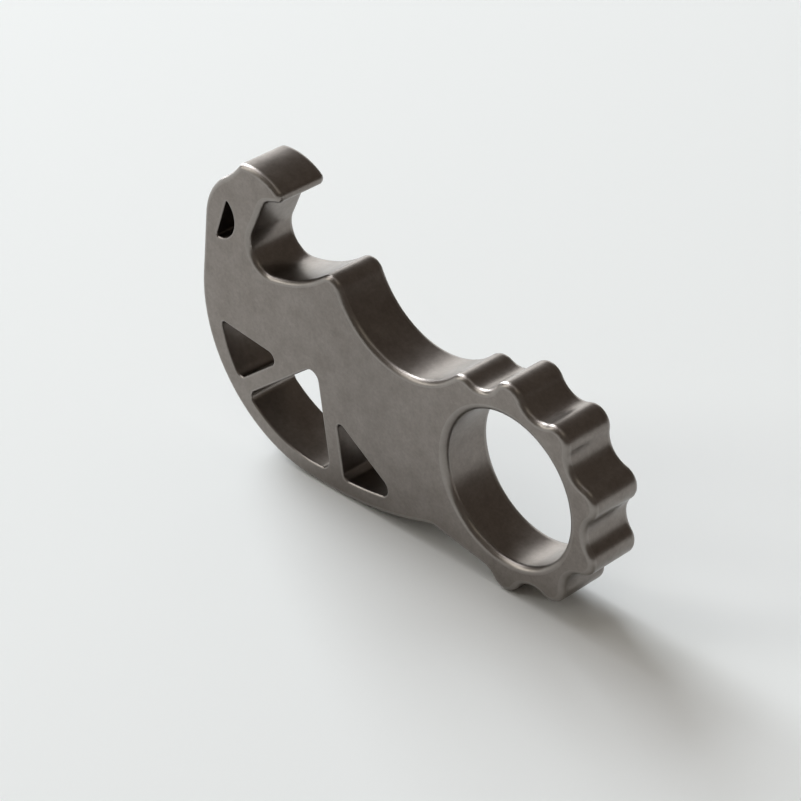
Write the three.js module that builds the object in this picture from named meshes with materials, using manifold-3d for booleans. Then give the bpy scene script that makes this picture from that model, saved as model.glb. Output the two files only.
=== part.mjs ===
import * as THREE from 'three';
import { mergeVertices } from 'three/addons/utils/BufferGeometryUtils.js';
import Module from 'manifold-3d';

// Keychain bottle opener, milled from one thick titanium plate and tumbled grey.
// A finger ring with grip crests stands at one end and the cap claw at the other.
// Lengths are millimetres. The outline is drawn with x along the opener and y up,
// from the centre of the finger bore, and the finished plate stands on its edge.

const wasm = await Module();
wasm.setup();

// Plate and its rounded edges
const plateThickness = 9.5;
const edgeRound = 0.9;
const windowEdgeRound = 0.3;
const boreEdgeRound = 1.1;

// Finger ring: a bore inside a rim of crests and valleys
const boreRadius = 12.5;
const ringWall = 3.2;
const crestHeight = 2.6;
const crestRound = 2.9;
const crestCount = 7;
const firstCrestHeading = -91;
const lastCrestHeading = 125;

// Neck below the ring, where the belly runs into the heel of the first crest
const heelWall = 0.75;
const heelRound = 3.4;
const archWall = 4;
const archRound = 4;

// Back and underside: the spine and the belly stand on one level with the first crest
const spineReach = 66.8;
const spineRound = 24.6;
const bellyAhead = 4;
const bellyRound = 62.4;

// Head, set in from the back of the spine and measured from the top of its crown
const headSetIn = 1.6;
const shoulderRound = 11.2;
const crownHeight = 32.6;
const crownRise = 2;
const crownBack = 9.8;
const crownRound = 1.5;
const napeRound = 16;

// Claw that hooks under the cap, with a brow that curves from its tip to the crown
const clawLength = 7.6;
const clawDepth = 4.4;
const browRound = 10.5;
const tipRound = 1.1;
const tipLift = 0.5;

// Mouth between the claw and the bump that bears on the cap
const mouthWall = 10.4;
const mouthLean = 2.9;
const mouthHeight = 13;
const mouthUpperRound = 2.7;
const mouthLowerRound = 4.1;
const mouthFloorRound = 25.2;
const bumpAhead = 11.5;
const bumpHeight = 5.5;
const bumpRound = 2.55;

// Thumb cut between the bump and the last crest
const thumbCutDepth = 4.6;

// Windows that lighten the body, with the rim and ribs left round them
const sideRim = 3.9;
const footRim = 3.25;
const lowerRibWidth = 3.1;
const lowerRibHeading = 97.6;
const lowerRibFootShare = 0.2614;
const upperRibWidth = 2.8;
const upperRibHeading = 37.3;
const ribsMeetAt = 24.34;
const upperWindowTop = 20.5;
const upperWindowPointCut = 3.7;
const upperWindowRimRound = 0.8;
const upperWindowFootRound = 1.4;
const upperWindowNoseRound = 1.2;
const middleWindowTopRound = 1.6;
const middleWindowRimRound = 1.2;
const middleWindowFootRound = 1.9;
const lastWindowTop = 13.2;
const lastWindowEnd = 25.1;
const lastWindowTopRound = 0.9;
const lastWindowRibRound = 1.3;
const lastWindowEndRound = 1.5;

// Teardrop hole through the head
const teardropWall = 3.3;
const teardropDrop = 10.9;
const teardropRound = 4.05;
const teardropCornerRound = 0.35;
const teardropTopHeading = 45;
const teardropFootHeading = -88;

// Fineness of the facets, the run of a cutter past a face, and how far short of its
// neighbour a round that touches it is drawn
const chordSag = 0.03;
const edgeSteps = 3;
const overrun = 0.02;
const touchGap = 0.005;

const radians = THREE.MathUtils.degToRad;

// An outline is a belt drawn tight round pins, followed counter-clockwise. It passes
// outside a convex pin (side 1) and inside a concave one (side -1).
function convex(x, y, round) {
  return { x, y, round, side: 1 };
}

function concave(x, y, round) {
  return { x, y, round, side: -1 };
}

// Centre at one distance from a first pin and another from a second,
// on the left (1) or right (-1) of the way from the first to the second.
function centreBetween(first, firstDistance, second, secondDistance, hand) {
  const alongX = second.x - first.x;
  const alongY = second.y - first.y;
  const apart = Math.hypot(alongX, alongY);
  const along = (firstDistance ** 2 - secondDistance ** 2 + apart ** 2) / (2 * apart);
  const across = hand * Math.sqrt(firstDistance ** 2 - along ** 2);
  return {
    x: first.x + (along * alongX - across * alongY) / apart,
    y: first.y + (along * alongY + across * alongX) / apart,
  };
}

// Heading of the straight stretch of belt from one pin to the next
function beltHeading(pin, next) {
  const apart = Math.hypot(next.x - pin.x, next.y - pin.y);
  const drift = (pin.side * pin.round - next.side * next.round) / apart;
  return Math.atan2(next.y - pin.y, next.x - pin.x) + Math.asin(drift);
}

// Closed shape of the belt, with each round in just enough chords
function beltShape(pins) {
  const points = pins.flatMap((pin, i) => {
    const arriving = beltHeading(pins.at(i - 1), pin);
    const leaving = beltHeading(pin, pins[(i + 1) % pins.length]);
    const quarter = -pin.side * Math.PI / 2;
    const clockwise = pin.side < 0;
    const arc = new THREE.EllipseCurve(
      pin.x, pin.y, pin.round, pin.round, arriving + quarter, leaving + quarter, clockwise,
    );
    const turn = arc.getLength() / pin.round;
    const chordTurn = 2 * Math.acos(1 - Math.min(chordSag / pin.round, 1));
    return arc.getPoints(Math.ceil(turn / chordTurn));
  });
  return new THREE.Shape(points);
}

// Straight side of a window: a point on it and its heading, with the window on its left
function sideLine(x, y, heading) {
  return { x, y, heading };
}

function movedLeft(line, distance) {
  return {
    x: line.x - distance * Math.sin(line.heading),
    y: line.y + distance * Math.cos(line.heading),
    heading: line.heading,
  };
}

// Round corner between two straight sides
function cornerPin(line, other, round) {
  const a = movedLeft(line, round);
  const b = movedLeft(other, round);
  const cross = Math.sin(b.heading - a.heading);
  const gapX = b.x - a.x;
  const gapY = b.y - a.y;
  const run = (gapX * Math.sin(b.heading) - gapY * Math.cos(b.heading)) / cross;
  return convex(a.x + run * Math.cos(a.heading), a.y + run * Math.sin(a.heading), round);
}

// Round corner where a straight side meets the inside of a round one.
// The side is followed ahead (1) or back (-1) to the far end of the round one.
function rimPin(line, rim, round, way) {
  const a = movedLeft(line, round);
  const gapX = rim.x - a.x;
  const gapY = rim.y - a.y;
  const middle = gapX * Math.cos(a.heading) + gapY * Math.sin(a.heading);
  const aside = gapY * Math.cos(a.heading) - gapX * Math.sin(a.heading);
  const run = middle + way * Math.sqrt((rim.round - round) ** 2 - aside ** 2);
  return convex(a.x + run * Math.cos(a.heading), a.y + run * Math.sin(a.heading), round);
}

// Finger ring
const ringRoot = boreRadius + ringWall;
const ringReach = ringRoot + crestHeight;
const crestOrbit = ringReach - crestRound;
const firstCrestAngle = radians(firstCrestHeading);
const halfPitch = (radians(lastCrestHeading) - firstCrestAngle) / (2 * (crestCount - 1));
const rootToCrest = ringRoot - crestRound;
const valleyOrbit = (crestOrbit ** 2 - rootToCrest ** 2)
  / (2 * (crestOrbit * Math.cos(halfPitch) - rootToCrest));
const valleyRound = valleyOrbit - ringRoot - touchGap;
const ring = [];
for (let i = 0; i < crestCount; i += 1) {
  const angle = firstCrestAngle + 2 * i * halfPitch;
  ring.push(convex(crestOrbit * Math.cos(angle), crestOrbit * Math.sin(angle), crestRound));
  if (i < crestCount - 1) {
    const valleyAngle = angle + halfPitch;
    const x = valleyOrbit * Math.cos(valleyAngle);
    const y = valleyOrbit * Math.sin(valleyAngle);
    ring.push(concave(x, y, valleyRound));
  }
}
const boreCentre = { x: 0, y: 0 };
const firstCrest = ring.at(0);
const lastCrest = ring.at(-1);
const floor = firstCrest.y - crestRound;

// Head with its crown, claw and mouth
const headBack = headSetIn - spineReach;
const mouthRoof = crownHeight - clawDepth;
const mouthBottom = mouthRoof - mouthHeight;
const shoulder = convex(
  headBack + shoulderRound, crownHeight - crownRise - shoulderRound, shoulderRound,
);
const crown = convex(headBack + crownBack, crownHeight - crownRound, crownRound);
const mouthBack = headBack + mouthWall;
const tip = convex(mouthBack + clawLength - tipRound, mouthRoof + tipLift + tipRound, tipRound);
const browCentre = centreBetween(
  tip, browRound - tipRound, crown, browRound - crownRound, 1,
);
const brow = convex(browCentre.x, browCentre.y, browRound - touchGap);
const mouthUpper = concave(
  mouthBack + mouthLean + mouthUpperRound, mouthRoof - mouthUpperRound, mouthUpperRound,
);
const mouthLower = concave(
  mouthBack + mouthLowerRound, mouthBottom + mouthLowerRound, mouthLowerRound,
);
const bump = convex(tip.x + bumpAhead, mouthBottom + bumpHeight - bumpRound, bumpRound);
const floorCentre = centreBetween(
  mouthLower, mouthFloorRound - mouthLowerRound, bump, mouthFloorRound + bumpRound, 1,
);
const mouthFloor = concave(floorCentre.x, floorCentre.y, mouthFloorRound - touchGap);
const napeCentre = centreBetween(
  crown, crownRound + napeRound, shoulder, shoulderRound + napeRound, -1,
);
const nape = concave(napeCentre.x, napeCentre.y, napeRound - touchGap);

// Thumb cut, a round that touches the bump and the last crest
const thumbSpan = Math.hypot(lastCrest.x - bump.x, lastCrest.y - bump.y);
const thumbEndRound = (bumpRound + crestRound) / 2;
const thumbCutRound = (thumbSpan ** 2 / 4 + thumbCutDepth ** 2 - thumbEndRound ** 2)
  / (2 * (thumbEndRound + thumbCutDepth));
const thumbCentre = centreBetween(
  bump, thumbCutRound + bumpRound, lastCrest, thumbCutRound + crestRound, 1,
);
const thumbCut = concave(thumbCentre.x, thumbCentre.y, thumbCutRound - touchGap);

// Back, underside and neck
const spine = convex(spineRound - spineReach, floor + spineRound, spineRound);
const belly = convex(spine.x + bellyAhead, floor + bellyRound, bellyRound);
const archCentre = centreBetween(
  boreCentre, ringRoot + archWall + archRound, belly, bellyRound + archRound, 1,
);
const arch = concave(archCentre.x, archCentre.y, archRound - touchGap);
const heelCentre = centreBetween(
  boreCentre, ringRoot + heelWall + heelRound, firstCrest, crestRound + heelRound, -1,
);
const heel = concave(heelCentre.x, heelCentre.y, heelRound - touchGap);

const plateOutline = beltShape([
  ...ring, thumbCut, bump, mouthFloor, mouthLower, mouthUpper, tip, brow, crown, nape,
  shoulder, spine, belly, arch, heel,
]);

// Inner lines that the windows keep to: the round rim along the spine and the belly,
// and both sides of the two ribs. The lower rib stands between the spine's back and
// the end of the last window, and the upper rib branches off it.
const windowRimRound = spineRound - sideRim;
const windowRim = convex(spine.x, floor + footRim + windowRimRound, windowRimRound);
const bellyRim = convex(belly.x, belly.y, bellyRound - footRim);
const drawnWindowRim = { ...windowRim, round: windowRim.round - touchGap };
const drawnBellyRim = { ...bellyRim, round: bellyRim.round - touchGap };
const lowerRibFoot = -lastWindowEnd - lowerRibFootShare * (spineReach - lastWindowEnd);
const lowerRib = sideLine(lowerRibFoot, floor, radians(lowerRibHeading));
const ribsMeet = lowerRibFoot + ribsMeetAt / Math.tan(lowerRib.heading);
const upperRib = sideLine(ribsMeet, floor + ribsMeetAt, radians(upperRibHeading));

function backwards(line) {
  return { ...line, heading: line.heading + Math.PI };
}

const upperRibTop = movedLeft(upperRib, upperRibWidth / 2);
const upperRibUnderside = movedLeft(backwards(upperRib), upperRibWidth / 2);
const lowerRibBack = movedLeft(lowerRib, lowerRibWidth / 2);
const lowerRibFront = movedLeft(backwards(lowerRib), lowerRibWidth / 2);

// Upper window, above the upper rib
const upperWindowLid = sideLine(spine.x, floor + upperWindowTop, Math.PI);
const upperWindowPoint = cornerPin(upperRibTop, upperWindowLid, 0);
const upperWindowEnd = sideLine(
  upperWindowPoint.x - upperWindowPointCut, upperWindowPoint.y, Math.PI / 2,
);
const upperWindow = beltShape([
  rimPin(upperWindowLid, windowRim, upperWindowRimRound, 1),
  drawnWindowRim,
  rimPin(upperRibTop, windowRim, upperWindowFootRound, -1),
  cornerPin(upperRibTop, upperWindowEnd, upperWindowNoseRound),
]);

// Middle window, between the two ribs
const middleWindow = beltShape([
  cornerPin(lowerRibBack, upperRibUnderside, middleWindowTopRound),
  rimPin(upperRibUnderside, windowRim, middleWindowRimRound, 1),
  drawnWindowRim,
  rimPin(lowerRibBack, windowRim, middleWindowFootRound, -1),
]);

// Last window, between the lower rib and the ring
const lastWindowLid = sideLine(spine.x, floor + lastWindowTop, Math.PI);
const lastWindowStop = sideLine(-lastWindowEnd, belly.y, Math.PI / 2);
const lastWindow = beltShape([
  cornerPin(lastWindowLid, lowerRibFront, lastWindowTopRound),
  rimPin(lowerRibFront, bellyRim, lastWindowRibRound, 1),
  drawnBellyRim,
  rimPin(lastWindowStop, bellyRim, lastWindowEndRound, -1),
]);

// Teardrop, a slice of a round hole cut off along its back
const teardropBulge = convex(
  mouthBack - teardropWall - teardropRound, crownHeight - teardropDrop,
  teardropRound - touchGap,
);

function teardropCorner(heading) {
  const orbit = teardropRound - teardropCornerRound;
  return convex(
    teardropBulge.x + orbit * Math.cos(radians(heading)),
    teardropBulge.y + orbit * Math.sin(radians(heading)),
    teardropCornerRound,
  );
}

const teardrop = beltShape([
  teardropBulge, teardropCorner(teardropTopHeading), teardropCorner(teardropFootHeading),
]);

// Finger bore, drawn as one full round
const boreSteps = Math.ceil(Math.PI / Math.acos(1 - chordSag / boreRadius));
const bore = new THREE.Shape(
  new THREE.EllipseCurve(0, 0, boreRadius, boreRadius).getPoints(boreSteps),
);

// Slab of an outline, as thick as the plate, with the rims of both faces rounded
function roundedSlab(shape, edge) {
  return new THREE.ExtrudeGeometry(shape, {
    depth: plateThickness - 2 * edge,
    bevelThickness: edge,
    bevelSize: edge,
    bevelOffset: -edge,
    bevelSegments: edgeSteps,
  }).translate(0, 0, edge);
}

// Cutter for a hole: it flares at both faces, which rounds the rims that it leaves
function flaredCutter(shape, edge) {
  const flare = edge + overrun;
  return new THREE.ExtrudeGeometry(shape, {
    depth: plateThickness - 2 * edge,
    bevelThickness: flare,
    bevelSize: -flare,
    bevelOffset: flare,
    bevelSegments: edgeSteps,
  }).translate(0, 0, edge);
}

function solid(geometry) {
  const bare = geometry.clone();
  bare.deleteAttribute('normal');
  bare.deleteAttribute('uv');
  const merged = mergeVertices(bare);
  const mesh = new wasm.Mesh({
    numProp: 3,
    vertProperties: new Float32Array(merged.attributes.position.array),
    triVerts: new Uint32Array(merged.index.array),
  });
  return new wasm.Manifold(mesh);
}

function geometryOf(manifold) {
  const mesh = manifold.getMesh();
  const geometry = new THREE.BufferGeometry();
  geometry.setAttribute('position', new THREE.BufferAttribute(mesh.vertProperties, 3));
  geometry.setIndex(new THREE.BufferAttribute(mesh.triVerts, 1));
  return geometry;
}

// Milled body: the plate less its bore, windows and teardrop
const openings = [
  flaredCutter(bore, boreEdgeRound),
  flaredCutter(upperWindow, windowEdgeRound),
  flaredCutter(middleWindow, windowEdgeRound),
  flaredCutter(lastWindow, windowEdgeRound),
  flaredCutter(teardrop, windowEdgeRound),
];
let milled = solid(roundedSlab(plateOutline, edgeRound));
for (const opening of openings) {
  milled = milled.subtract(solid(opening));
}
const bodyGeometry = geometryOf(milled).toNonIndexed();
bodyGeometry.computeVertexNormals();

const tumbledTitanium = new THREE.MeshStandardMaterial({
  color: new THREE.Color(0.2, 0.18, 0.16),
  roughness: 0.42,
  metalness: 1,
});
const body = new THREE.Mesh(bodyGeometry, tumbledTitanium);
body.name = 'opener_body';

// The plate stands on edge, its length along X and its faces square to Y,
// with the middle of its footprint at the origin.
body.rotation.x = Math.PI / 2;
const ringFront = Math.max(...ring.map((pin) => pin.x + pin.side * pin.round));
body.position.set((spineReach - ringFront) / 2, plateThickness / 2, -floor);

const opener = new THREE.Group();
opener.name = 'keychain_bottle_opener';
opener.add(body);

export default opener;
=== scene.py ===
import math

import bmesh
import bpy
from mathutils import Euler, Matrix, Vector


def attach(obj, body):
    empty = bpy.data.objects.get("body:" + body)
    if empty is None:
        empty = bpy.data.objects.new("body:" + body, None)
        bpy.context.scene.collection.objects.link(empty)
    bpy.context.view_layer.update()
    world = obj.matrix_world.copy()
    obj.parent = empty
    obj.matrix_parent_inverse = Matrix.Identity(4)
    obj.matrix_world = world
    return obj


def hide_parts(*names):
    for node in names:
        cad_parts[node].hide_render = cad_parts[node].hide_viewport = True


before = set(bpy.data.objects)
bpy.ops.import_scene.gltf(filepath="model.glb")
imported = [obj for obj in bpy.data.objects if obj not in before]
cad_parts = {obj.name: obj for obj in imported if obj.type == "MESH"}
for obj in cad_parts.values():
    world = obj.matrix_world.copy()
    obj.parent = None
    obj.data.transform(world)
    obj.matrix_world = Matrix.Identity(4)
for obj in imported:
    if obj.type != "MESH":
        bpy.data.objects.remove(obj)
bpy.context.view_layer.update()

# Finger ring
# The opener is one piece, milled out of one titanium plate along a closed line of rounds
# and straights. At the ring end the line makes seven grip crests round the finger bore.
# Lengths are millimetres, and the line is drawn from the middle of the bore.
bore_radius = 12.5
ring_wall = 3.2
crest_height = 2.6
crest_round = 2.9
crest_count = 7
first_crest_heading = math.radians(-91)
last_crest_heading = math.radians(125)
# a round that touches its neighbours is drawn this much short of them
touch_gap = 0.005


def convex(x, z, round_):
    """Round that the metal fills, as at the top of a crest."""
    return {"x": x, "z": z, "round": round_, "side": 1}


def concave(x, z, round_):
    """Round cut into the metal, as at the bottom of a valley."""
    return {"x": x, "z": z, "round": round_, "side": -1}


bore = convex(0, 0, bore_radius)
ring_root = bore_radius + ring_wall
crest_orbit = ring_root + crest_height - crest_round
half_pitch = (last_crest_heading - first_crest_heading) / (2 * (crest_count - 1))
root_to_crest = ring_root - crest_round
valley_orbit = (crest_orbit**2 - root_to_crest**2) / (
    2 * (crest_orbit * math.cos(half_pitch) - root_to_crest)
)
valley_round = valley_orbit - ring_root - touch_gap
ring = []
for i in range(crest_count):
    angle = first_crest_heading + 2 * i * half_pitch
    x, z = crest_orbit * math.cos(angle), crest_orbit * math.sin(angle)
    ring.append(convex(x, z, crest_round))
    if i < crest_count - 1:
        angle += half_pitch
        x, z = valley_orbit * math.cos(angle), valley_orbit * math.sin(angle)
        ring.append(concave(x, z, valley_round))
first_crest, last_crest = ring[0], ring[-1]
floor_level = first_crest["z"] - crest_round

# Head, claw and mouth
# The head is the end that opens the bottle. Its claw hooks under the rim of the cap while
# the bump bears on top of it. Both are cut in the same plate, with the mouth between them.
spine_reach = 66.8
head_set_in = 1.6
shoulder_round = 11.2
crown_height = 32.6
crown_rise = 2
crown_back = 9.8
crown_round = 1.5
nape_round = 16
claw_length = 7.6
claw_depth = 4.4
brow_round = 10.5
tip_round = 1.1
tip_lift = 0.5
mouth_wall = 10.4
mouth_lean = 2.9
mouth_height = 13
mouth_upper_round = 2.7
mouth_lower_round = 4.1
mouth_floor_round = 25.2
bump_ahead = 11.5
bump_height = 5.5
bump_round = 2.55


def touching(first, first_distance, second, second_distance, hand):
    """Centre at these distances from two rounds, left (1) or right (-1) of their line."""
    x, z = second["x"] - first["x"], second["z"] - first["z"]
    apart = math.hypot(x, z)
    along = (first_distance**2 - second_distance**2 + apart**2) / (2 * apart)
    across = hand * math.sqrt(first_distance**2 - along**2)
    return (
        first["x"] + (along * x - across * z) / apart,
        first["z"] + (along * z + across * x) / apart,
    )


head_back = head_set_in - spine_reach
mouth_back = head_back + mouth_wall
mouth_roof = crown_height - claw_depth
mouth_bottom = mouth_roof - mouth_height
shoulder = convex(
    head_back + shoulder_round, crown_height - crown_rise - shoulder_round, shoulder_round
)
crown = convex(head_back + crown_back, crown_height - crown_round, crown_round)
tip = convex(
    mouth_back + claw_length - tip_round, mouth_roof + tip_lift + tip_round, tip_round
)
brow = convex(
    *touching(tip, brow_round - tip_round, crown, brow_round - crown_round, 1),
    brow_round - touch_gap,
)
nape = concave(
    *touching(crown, crown_round + nape_round, shoulder, shoulder_round + nape_round, -1),
    nape_round - touch_gap,
)
mouth_upper = concave(
    mouth_back + mouth_lean + mouth_upper_round,
    mouth_roof - mouth_upper_round,
    mouth_upper_round,
)
mouth_lower = concave(
    mouth_back + mouth_lower_round, mouth_bottom + mouth_lower_round, mouth_lower_round
)
bump = convex(tip["x"] + bump_ahead, mouth_bottom + bump_height - bump_round, bump_round)
mouth_floor = concave(
    *touching(
        mouth_lower, mouth_floor_round - mouth_lower_round,
        bump, mouth_floor_round + bump_round, 1,
    ),
    mouth_floor_round - touch_gap,
)

# Thumb cut, spine, belly and neck
# The rest of the line closes round the plate. The thumb presses in the cut between bump
# and ring, the round back runs under into the belly, and the neck joins belly and ring.
thumb_cut_depth = 4.6
spine_round = 24.6
belly_ahead = 4
belly_round = 62.4
arch_wall = 4
arch_round = 4
heel_wall = 0.75
heel_round = 3.4

thumb_span = math.hypot(last_crest["x"] - bump["x"], last_crest["z"] - bump["z"])
thumb_end_round = (bump_round + crest_round) / 2
thumb_cut_round = (thumb_span**2 / 4 + thumb_cut_depth**2 - thumb_end_round**2) / (
    2 * (thumb_end_round + thumb_cut_depth)
)
thumb_cut = concave(
    *touching(
        bump, thumb_cut_round + bump_round, last_crest, thumb_cut_round + crest_round, 1
    ),
    thumb_cut_round - touch_gap,
)
spine = convex(spine_round - spine_reach, floor_level + spine_round, spine_round)
belly = convex(spine["x"] + belly_ahead, floor_level + belly_round, belly_round)
arch = concave(
    *touching(bore, ring_root + arch_wall + arch_round, belly, belly_round + arch_round, 1),
    arch_round - touch_gap,
)
heel = concave(
    *touching(
        bore, ring_root + heel_wall + heel_round, first_crest, crest_round + heel_round, -1
    ),
    heel_round - touch_gap,
)
outline = [
    *ring, thumb_cut, bump, mouth_floor, mouth_lower, mouth_upper, tip, brow, crown, nape,
    shoulder, spine, belly, arch, heel,
]

# Windows and teardrop
# Three windows with two ribs between them lighten the body, and a teardrop lightens the
# head. They are milled right through the plate, with small rounds in their corners.
side_rim = 3.9
foot_rim = 3.25
lower_rib_width = 3.1
lower_rib_heading = math.radians(97.6)
lower_rib_foot_share = 0.2614
upper_rib_width = 2.8
upper_rib_heading = math.radians(37.3)
ribs_meet_at = 24.34
upper_window_top = 20.5
upper_window_point_cut = 3.7
upper_window_rim_round = 0.8
upper_window_foot_round = 1.4
upper_window_nose_round = 1.2
middle_window_top_round = 1.6
middle_window_rim_round = 1.2
middle_window_foot_round = 1.9
last_window_top = 13.2
last_window_end = 25.1
last_window_top_round = 0.9
last_window_rib_round = 1.3
last_window_end_round = 1.5
teardrop_wall = 3.3
teardrop_drop = 10.9
teardrop_round = 4.05
teardrop_corner_round = 0.35
teardrop_corner_headings = (math.radians(45), math.radians(-88))


def side_line(x, z, heading_):
    """Straight side of a window, with the window on its left."""
    return {"x": x, "z": z, "heading": heading_}


def moved_left(line, distance):
    return {
        "x": line["x"] - distance * math.sin(line["heading"]),
        "z": line["z"] + distance * math.cos(line["heading"]),
        "heading": line["heading"],
    }


def other_way(line):
    return {**line, "heading": line["heading"] + math.pi}


def corner(line, other, round_):
    """Round corner between two straight sides."""
    a, b = moved_left(line, round_), moved_left(other, round_)
    x, z = b["x"] - a["x"], b["z"] - a["z"]
    run = (x * math.sin(b["heading"]) - z * math.cos(b["heading"])) / math.sin(
        b["heading"] - a["heading"]
    )
    return convex(
        a["x"] + run * math.cos(a["heading"]), a["z"] + run * math.sin(a["heading"]), round_
    )


def rim_corner(line, rim, round_, way):
    """Round corner where a side, followed ahead (1) or back (-1), meets a round rim."""
    a = moved_left(line, round_)
    x, z = rim["x"] - a["x"], rim["z"] - a["z"]
    middle = x * math.cos(a["heading"]) + z * math.sin(a["heading"])
    aside = z * math.cos(a["heading"]) - x * math.sin(a["heading"])
    run = middle + way * math.sqrt((rim["round"] - round_) ** 2 - aside**2)
    return convex(
        a["x"] + run * math.cos(a["heading"]), a["z"] + run * math.sin(a["heading"]), round_
    )


def drawn(rim):
    return {**rim, "round": rim["round"] - touch_gap}


window_rim_round = spine_round - side_rim
window_rim = convex(spine["x"], floor_level + foot_rim + window_rim_round, window_rim_round)
belly_rim = convex(belly["x"], belly["z"], belly_round - foot_rim)
lower_rib_foot = -last_window_end - lower_rib_foot_share * (spine_reach - last_window_end)
lower_rib = side_line(lower_rib_foot, floor_level, lower_rib_heading)
upper_rib = side_line(
    lower_rib_foot + ribs_meet_at / math.tan(lower_rib_heading),
    floor_level + ribs_meet_at,
    upper_rib_heading,
)
upper_rib_top = moved_left(upper_rib, upper_rib_width / 2)
upper_rib_underside = moved_left(other_way(upper_rib), upper_rib_width / 2)
lower_rib_back = moved_left(lower_rib, lower_rib_width / 2)
lower_rib_front = moved_left(other_way(lower_rib), lower_rib_width / 2)

upper_lid = side_line(spine["x"], floor_level + upper_window_top, math.pi)
upper_point = corner(upper_rib_top, upper_lid, 0)
upper_end = side_line(
    upper_point["x"] - upper_window_point_cut, upper_point["z"], math.pi / 2
)
upper_window = [
    rim_corner(upper_lid, window_rim, upper_window_rim_round, 1),
    drawn(window_rim),
    rim_corner(upper_rib_top, window_rim, upper_window_foot_round, -1),
    corner(upper_rib_top, upper_end, upper_window_nose_round),
]
middle_window = [
    corner(lower_rib_back, upper_rib_underside, middle_window_top_round),
    rim_corner(upper_rib_underside, window_rim, middle_window_rim_round, 1),
    drawn(window_rim),
    rim_corner(lower_rib_back, window_rim, middle_window_foot_round, -1),
]
last_lid = side_line(spine["x"], floor_level + last_window_top, math.pi)
last_stop = side_line(-last_window_end, belly["z"], math.pi / 2)
last_window = [
    corner(last_lid, lower_rib_front, last_window_top_round),
    rim_corner(lower_rib_front, belly_rim, last_window_rib_round, 1),
    drawn(belly_rim),
    rim_corner(last_stop, belly_rim, last_window_end_round, -1),
]

bulge = convex(
    mouth_back - teardrop_wall - teardrop_round,
    crown_height - teardrop_drop,
    teardrop_round - touch_gap,
)
teardrop = [bulge]
for angle in teardrop_corner_headings:
    orbit = teardrop_round - teardrop_corner_round
    teardrop.append(
        convex(
            bulge["x"] + orbit * math.cos(angle),
            bulge["z"] + orbit * math.sin(angle),
            teardrop_corner_round,
        )
    )

# Milled plate with rounded rims
# Walls are cut square through the plate, then a rounding cutter takes every rim off both
# faces: 0.9 mm round the outside, 0.3 mm at the windows and 1.1 mm where a finger goes.
plate_thickness = 9.5
edge_round = 0.9
window_edge_round = 0.3
bore_edge_round = 1.1
# the metal that the tumbler takes off, and the flat left between a rim and the face
polish = 0.025
flat_margin = 0.1
chord_sag = 0.004
rim_steps = 8
metres = 0.001


def heading(pin, following):
    """Heading of the straight run that leaves one round and meets the next."""
    x, z = following["x"] - pin["x"], following["z"] - pin["z"]
    drift = pin["side"] * pin["round"] - following["side"] * following["round"]
    return math.atan2(z, x) + math.asin(drift / math.hypot(x, z))


def cut_line(mesh, pins, outward, depth):
    """Closed line of edges round the pins, a distance outward of them, at one depth."""
    known = set(mesh.edges)
    if len(pins) == 1:
        radius = pins[0]["round"] + outward
        steps = math.ceil(math.pi / math.acos(1 - chord_sag / pins[0]["round"]))
        start = mesh.verts.new((pins[0]["x"] + radius, depth, pins[0]["z"]))
        bmesh.ops.spin(
            mesh, geom=[start], cent=(pins[0]["x"], depth, pins[0]["z"]), axis=(0, -1, 0),
            angle=math.tau, steps=steps, use_merge=True,
        )
        return [edge for edge in mesh.edges if edge not in known]
    start = last = None
    for pin, before, after in zip(pins, pins[-1:] + pins[:-1], pins[1:] + pins[:1]):
        arriving, leaving = heading(before, pin), heading(pin, after)
        turn = pin["side"] * ((pin["side"] * (leaving - arriving)) % math.tau)
        steps = math.ceil(abs(turn) / (2 * math.acos(1 - chord_sag / pin["round"])))
        radius = pin["round"] + pin["side"] * outward
        angle = arriving - pin["side"] * math.pi / 2
        x, z = pin["x"] + radius * math.cos(angle), pin["z"] + radius * math.sin(angle)
        if last is None:
            start = joint = mesh.verts.new((x, depth, z))
        else:
            joint = bmesh.ops.extrude_vert_indiv(mesh, verts=[last])["verts"][0]
            joint.co = (x, depth, z)
        spun = bmesh.ops.spin(
            mesh, geom=[joint], cent=(pin["x"], depth, pin["z"]), axis=(0, -1, 0),
            angle=turn, steps=steps,
        )
        last = next(
            part for part in spun["geom_last"] if isinstance(part, bmesh.types.BMVert)
        )
    mesh.edges.new((last, start))
    return [edge for edge in mesh.edges if edge not in known]


def pushed_back(mesh, edges, distance):
    """Wall from a closed line of edges to a copy of it deeper in the plate."""
    made = bmesh.ops.extrude_edge_only(mesh, edges=edges)["geom"]
    copies = {part for part in made if isinstance(part, bmesh.types.BMVert)}
    bmesh.ops.translate(mesh, verts=list(copies), vec=(0, distance, 0))
    return [
        part for part in made
        if isinstance(part, bmesh.types.BMEdge) and copies.issuperset(part.verts)
    ]


milling = bmesh.new()
rim_wear = milling.verts.layers.float.new("rim_wear")
front, back = -plate_thickness / 2, plate_thickness / 2
# the plate lies inside the outline (-1) and outside each hole (1)
cuts = []
for pins, plate_side, rim_round in (
    (outline, -1, edge_round),
    ([bore], 1, bore_edge_round),
    (upper_window, 1, window_edge_round),
    (middle_window, 1, window_edge_round),
    (last_window, 1, window_edge_round),
    (teardrop, 1, window_edge_round),
):
    band = rim_round + flat_margin
    corner_line = cut_line(milling, pins, plate_side * polish, front)
    flat_edge = plate_side * (polish + band)
    near_line = cut_line(milling, pins, flat_edge, front - plate_thickness)
    far_line = cut_line(milling, pins, flat_edge, back + plate_thickness)
    cuts.append((band, rim_round, corner_line, near_line, far_line))

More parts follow.
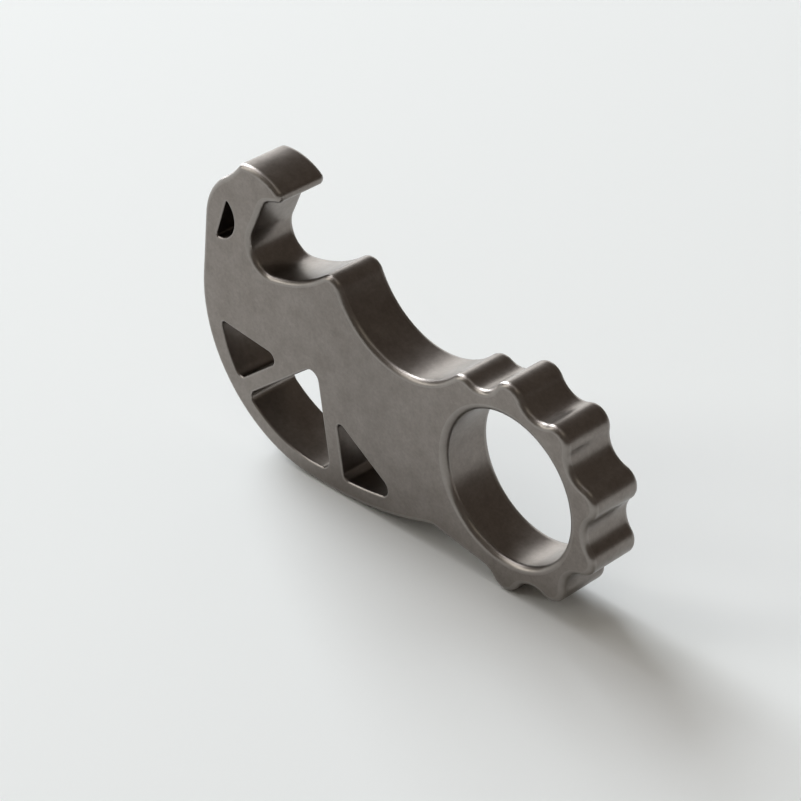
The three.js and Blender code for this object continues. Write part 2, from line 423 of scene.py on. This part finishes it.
front_edges, back_edges = [], []
for band, rim_round, near_corner, near_line, far_line in cuts:
    far_corner = near_corner
    for distance in (band, plate_thickness - 2 * band, band):
        far_corner = pushed_back(milling, far_corner, distance)
    # the lines on the faces are bridged while they stand clear, then set down flat
    for rim, line, home in (
        (near_corner, near_line, plate_thickness), (far_corner, far_line, -plate_thickness)
    ):
        bmesh.ops.bridge_loops(milling, edges=rim + line)
        ends = list({vert for edge in line for vert in edge.verts})
        bmesh.ops.translate(milling, verts=ends, vec=(0, home, 0))
    rounded = bmesh.ops.bevel(
        milling, geom=near_corner + far_corner, offset=rim_round, offset_type="OFFSET",
        segments=rim_steps, profile=0.5, affect="EDGES", clamp_overlap=False, material=-1,
    )
    for vert in rounded["verts"]:
        vert[rim_wear] = 1
    front_edges += near_line
    back_edges += far_line

# both faces are flat from rim to rim
for face_edges in (front_edges, back_edges):
    bmesh.ops.triangle_fill(milling, use_beauty=True, edges=face_edges)

# the plate stands on its edge, in the middle of its length
ring_front = max(pin["x"] + pin["side"] * pin["round"] for pin in ring)
bmesh.ops.translate(
    milling, verts=milling.verts, vec=((spine_reach - ring_front) / 2, 0, -floor_level)
)
bmesh.ops.scale(milling, verts=milling.verts, vec=(metres, metres, metres))
bmesh.ops.recalc_face_normals(milling, faces=milling.faces)
for face in milling.faces:
    face.smooth = True
opener_mesh = bpy.data.meshes.new("milled_opener")
milling.to_mesh(opener_mesh)
milling.free()
opener = bpy.data.objects.new("milled_opener", opener_mesh)
bpy.context.scene.collection.objects.link(opener)

# Tumbled titanium
# The milled opener is tumbled with stones until it is an even, warm dark grey satin.
# The stones leave a fine grain and faint clouds in the tone, and rub the rims brighter.
# along its length the colour also has a painted reflection and painted shade: brighter at
# the head, darker at the waist
cloud_scale = 240
cloud_shadow = (0.222, 0.195, 0.175)
cloud_light = (0.295, 0.266, 0.243)
grain_scale = 1500
pit_tone = 0.82
# where the painted reflection runs from head to ring, and the painted shade that it gives
# the waist and ring
head_end, ring_end = -0.042, 0.042
waist_painted_shade = 0.86
ring_painted_shade = 0.96
rubbed_tone = (0.32, 0.3, 0.28)
most_rub = 0.4
smoothest, roughest = 0.27, 0.37
pit_depth = 0.00005
# sockets of a Mix node that mixes colours
first_colour, second_colour, mixed_colour = 6, 7, 2

titanium = bpy.data.materials.new("tumbled_titanium")
titanium.use_nodes = True
nodes, links = titanium.node_tree.nodes, titanium.node_tree.links
shader = nodes["Principled BSDF"]
shader.inputs["Metallic"].default_value = 1
on_opener = nodes.new("ShaderNodeTexCoord").outputs["Object"]


def noise(scale, detail, roughness):
    """Noise fixed to the opener."""
    node = nodes.new("ShaderNodeTexNoise")
    node.inputs["Scale"].default_value = scale
    node.inputs["Detail"].default_value = detail
    node.inputs["Roughness"].default_value = roughness
    links.new(on_opener, node.inputs["Vector"])
    return node.outputs["Fac"]


def grey(level):
    return (level, level, level)


def ramp(source, *stops):
    """Colour read off a ramp, which has a colour at each stop along it."""
    node = nodes.new("ShaderNodeValToRGB")
    elements = node.color_ramp.elements
    for i, (position, colour) in enumerate(stops):
        element = elements[i] if i < 2 else elements.new(position)
        element.position = position
        element.color = (*colour, 1)
    links.new(source, node.inputs["Fac"])
    return node.outputs["Color"]


def ranged(source, start, end, low, high):
    """Level that goes from low to high while its source goes from start to end."""
    node = nodes.new("ShaderNodeMapRange")
    node.inputs["From Min"].default_value = start
    node.inputs["From Max"].default_value = end
    node.inputs["To Min"].default_value = low
    node.inputs["To Max"].default_value = high
    links.new(source, node.inputs["Value"])
    return node.outputs["Result"]


def darkened(colour, by):
    """One colour multiplied by another."""
    node = nodes.new("ShaderNodeMix")
    node.data_type, node.blend_type = "RGBA", "MULTIPLY"
    node.inputs["Factor"].default_value = 1
    links.new(colour, node.inputs[first_colour])
    links.new(by, node.inputs[second_colour])
    return node.outputs[mixed_colour]


clouds = noise(cloud_scale, 6, 0.72)
grain = noise(grain_scale, 5, 0.7)
tone = ramp(clouds, (0.3, cloud_shadow), (0.7, cloud_light))
pits = ramp(grain, (0.3, grey(pit_tone)), (0.7, grey(1)))

# painted reflection and shade: the head is painted brighter and the waist darker, for the
# bright floor that the head reflects and the shaded floor close under the waist
along = nodes.new("ShaderNodeSeparateXYZ")
links.new(on_opener, along.inputs["Vector"])
head_to_ring = ranged(along.outputs["X"], head_end, ring_end, 0, 1)
painted_floor_reflection = ramp(
    head_to_ring, (0.12, grey(1)), (0.45, grey(waist_painted_shade)), (0.7, grey(ring_painted_shade))
)
# the satin colour, with the painted reflection and shade multiplied in
satin_and_painted_shade = darkened(darkened(tone, painted_floor_reflection), pits)

# the stones reach the rims first
rubbed = nodes.new("ShaderNodeAttribute")
rubbed.attribute_name = "rim_wear"
worn = nodes.new("ShaderNodeMix")
worn.data_type = "RGBA"
links.new(ranged(rubbed.outputs["Fac"], 0, 1, 0, most_rub), worn.inputs["Factor"])
links.new(satin_and_painted_shade, worn.inputs[first_colour])
worn.inputs[second_colour].default_value = (*rubbed_tone, 1)
links.new(worn.outputs[mixed_colour], shader.inputs["Base Color"])
links.new(ranged(clouds, 0, 1, smoothest, roughest), shader.inputs["Roughness"])

relief = nodes.new("ShaderNodeBump")
relief.inputs["Strength"].default_value = 0.12
relief.inputs["Distance"].default_value = pit_depth
links.new(grain, relief.inputs["Height"])
links.new(relief.outputs["Normal"], shader.inputs["Normal"])

opener_mesh.materials.append(titanium)
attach(opener, "root")
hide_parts("opener_body")

# Table top
# The opener stands on its edge on a pale matte table that runs out past the picture.
# It is there for the shadow and for the light that it throws up on the metal.
table_reach = 8

table_sheet = bmesh.new()
bmesh.ops.create_grid(table_sheet, x_segments=1, y_segments=1, size=table_reach)
table_mesh = bpy.data.meshes.new("table_top")
table_sheet.to_mesh(table_mesh)
table_sheet.free()
table_top = bpy.data.objects.new("table_top", table_mesh)
bpy.context.scene.collection.objects.link(table_top)
paper = bpy.data.materials.new("pale_paper")
paper.use_nodes = True
paper_shader = paper.node_tree.nodes["Principled BSDF"]
paper_shader.inputs["Base Color"].default_value = (0.885, 0.91, 0.905, 1)
paper_shader.inputs["Roughness"].default_value = 0.8
paper_shader.inputs["Specular IOR Level"].default_value = 0.25
table_mesh.materials.append(paper)

# Studio light
# Daylight falls in at the head end, through a tall window that reaches the floor. Paler
# walls stand to the left of it, weak lamps fill in behind and above, and the room is dim.
room_middle = Vector((0, 0, 0.02))
lamp_distance = 4

for name, heading_degrees, height_degrees, width, height, brightness, colour in (
    ("tall_window", 166, 23.5, 1.94, 3.4, 9.9, (0.92, 0.96, 1)),
    ("left_wall", 187, 47, 2.08, 2.6, 2.5, (0.98, 0.97, 1)),
    ("near_left_wall", 218, 22, 1.06, 3.15, 3.2, (1, 1, 0.95)),
    ("low_back_lamp", 132, 11.5, 2.84, 1.5, 1.6, (0.97, 1, 1)),
    ("high_front_lamp", -20, 65, 3.3, 1.5, 0.35, (1, 0.95, 0.8)),
    ("ceiling_panel", 0, 90, 1.63, 1.63, 0.5, (1, 1, 1)),
):
    lamp = bpy.data.lights.new(name, "AREA")
    lamp.shape = "RECTANGLE"
    lamp.size, lamp.size_y = width, height
    # the power that makes a panel of this area shine at this brightness
    lamp.energy = brightness * math.pi * width * height
    lamp.color = colour
    softbox = bpy.data.objects.new(name, lamp)
    aim = Matrix.Rotation(math.radians(heading_degrees), 3, "Z") @ Matrix.Rotation(
        math.radians(90 - height_degrees), 3, "Y"
    )
    outward = aim @ Vector((0, 0, 1))
    softbox.rotation_euler = outward.to_track_quat("Z", "Y").to_euler()
    softbox.location = room_middle + lamp_distance * outward
    bpy.context.scene.collection.objects.link(softbox)

# the room itself gives a dim warm light, and the picture shows it pale
room = bpy.data.worlds.new("studio_room")
bpy.context.scene.world = room
room.use_nodes = True
room_nodes, room_links = room.node_tree.nodes, room.node_tree.links
room_light = room_nodes["Background"]
room_light.inputs["Color"].default_value = (1, 0.855, 0.733, 1)
room_light.inputs["Strength"].default_value = 0.15
backdrop = room_nodes.new("ShaderNodeBackground")
backdrop.inputs["Color"].default_value = (0.86, 0.87, 0.87, 1)
backdrop.inputs["Strength"].default_value = 1
light_path = room_nodes.new("ShaderNodeLightPath")
room_mix = room_nodes.new("ShaderNodeMixShader")
cast_light, seen_light = room_mix.inputs[1], room_mix.inputs[2]
room_links.new(light_path.outputs["Is Camera Ray"], room_mix.inputs["Fac"])
room_links.new(room_light.outputs["Background"], cast_light)
room_links.new(backdrop.outputs["Background"], seen_light)
room_links.new(room_mix.outputs["Shader"], room_nodes["World Output"].inputs["Surface"])

# Camera
# The camera stands at the front right, well above the table, and looks down its long
# lens at the ring end, as in the photograph.
picture_width = 801
lens_in_pixels = 3000
sensor_width = 36
camera_place = (0.274728, -0.262118, 0.266904)
camera_turn = (57.01385, 0.96486, 45.93901)

view = bpy.data.cameras.new("photo_camera")
view.sensor_width = sensor_width
view.lens = lens_in_pixels * sensor_width / picture_width
view.clip_start = 0.01
view.clip_end = 20
photo_camera = bpy.data.objects.new("photo_camera", view)
photo_camera.matrix_world = Matrix.LocRotScale(
    Vector(camera_place), Euler([math.radians(degrees) for degrees in camera_turn]), None
)
bpy.context.scene.collection.objects.link(photo_camera)
bpy.context.scene.camera = photo_camera

bpy.context.scene.view_settings.view_transform = "Standard"
